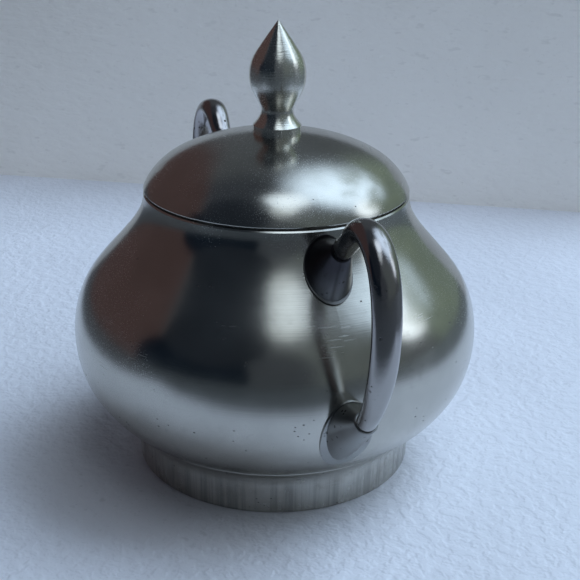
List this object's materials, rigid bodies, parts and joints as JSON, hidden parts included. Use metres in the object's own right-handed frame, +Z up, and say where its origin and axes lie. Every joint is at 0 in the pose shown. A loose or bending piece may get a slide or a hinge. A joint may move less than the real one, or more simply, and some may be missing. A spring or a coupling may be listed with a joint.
{
  "type": "lidded sugar bowl",
  "caption": "Round-bellied metal sugar bowl with a domed lift-off lid, a bud finial and a loop handle on each side.",
  "frame": {"origin": "centre of the foot, on the surface the bowl stands on", "axes": "+Z up along the bowl's axis, +X and -X towards the two handles"},
  "size_m": [0.1318, 0.095, 0.1043],
  "materials": {
    "spun_pewter": "satin spun pewter with fine circular marks and light wear",
    "inside_pewter": "dull unpolished pewter",
    "cast_pewter": "satin cast pewter",
    "dark_pewter": "darkened cast pewter, rubbed bright on its edges",
    "turned_pewter": "polished, with fine turning marks",
    "screw_steel": "plain"
  },
  "bodies": {
    "bowl": {"bowl_body": "spun_pewter", "base_disc": "inside_pewter", "foot_ring": "spun_pewter", "mouth_ring": "inside_pewter", "upper_socket_right": "cast_pewter", "upper_socket_left": "cast_pewter", "lower_socket_right": "cast_pewter", "lower_socket_left": "cast_pewter", "handle_right": "dark_pewter", "handle_left": "dark_pewter"},
    "lid": {"lid_dome": "spun_pewter", "lid_flange": "inside_pewter", "finial": "turned_pewter", "finial_washer": "screw_steel", "finial_screw": "screw_steel"}
  },
  "joints": [
    {"name": "lid_lift", "type": "slide", "parent": "bowl", "child": "lid", "axis": [0, 0, 1], "range_m": [0, 0.05]}
  ]
}
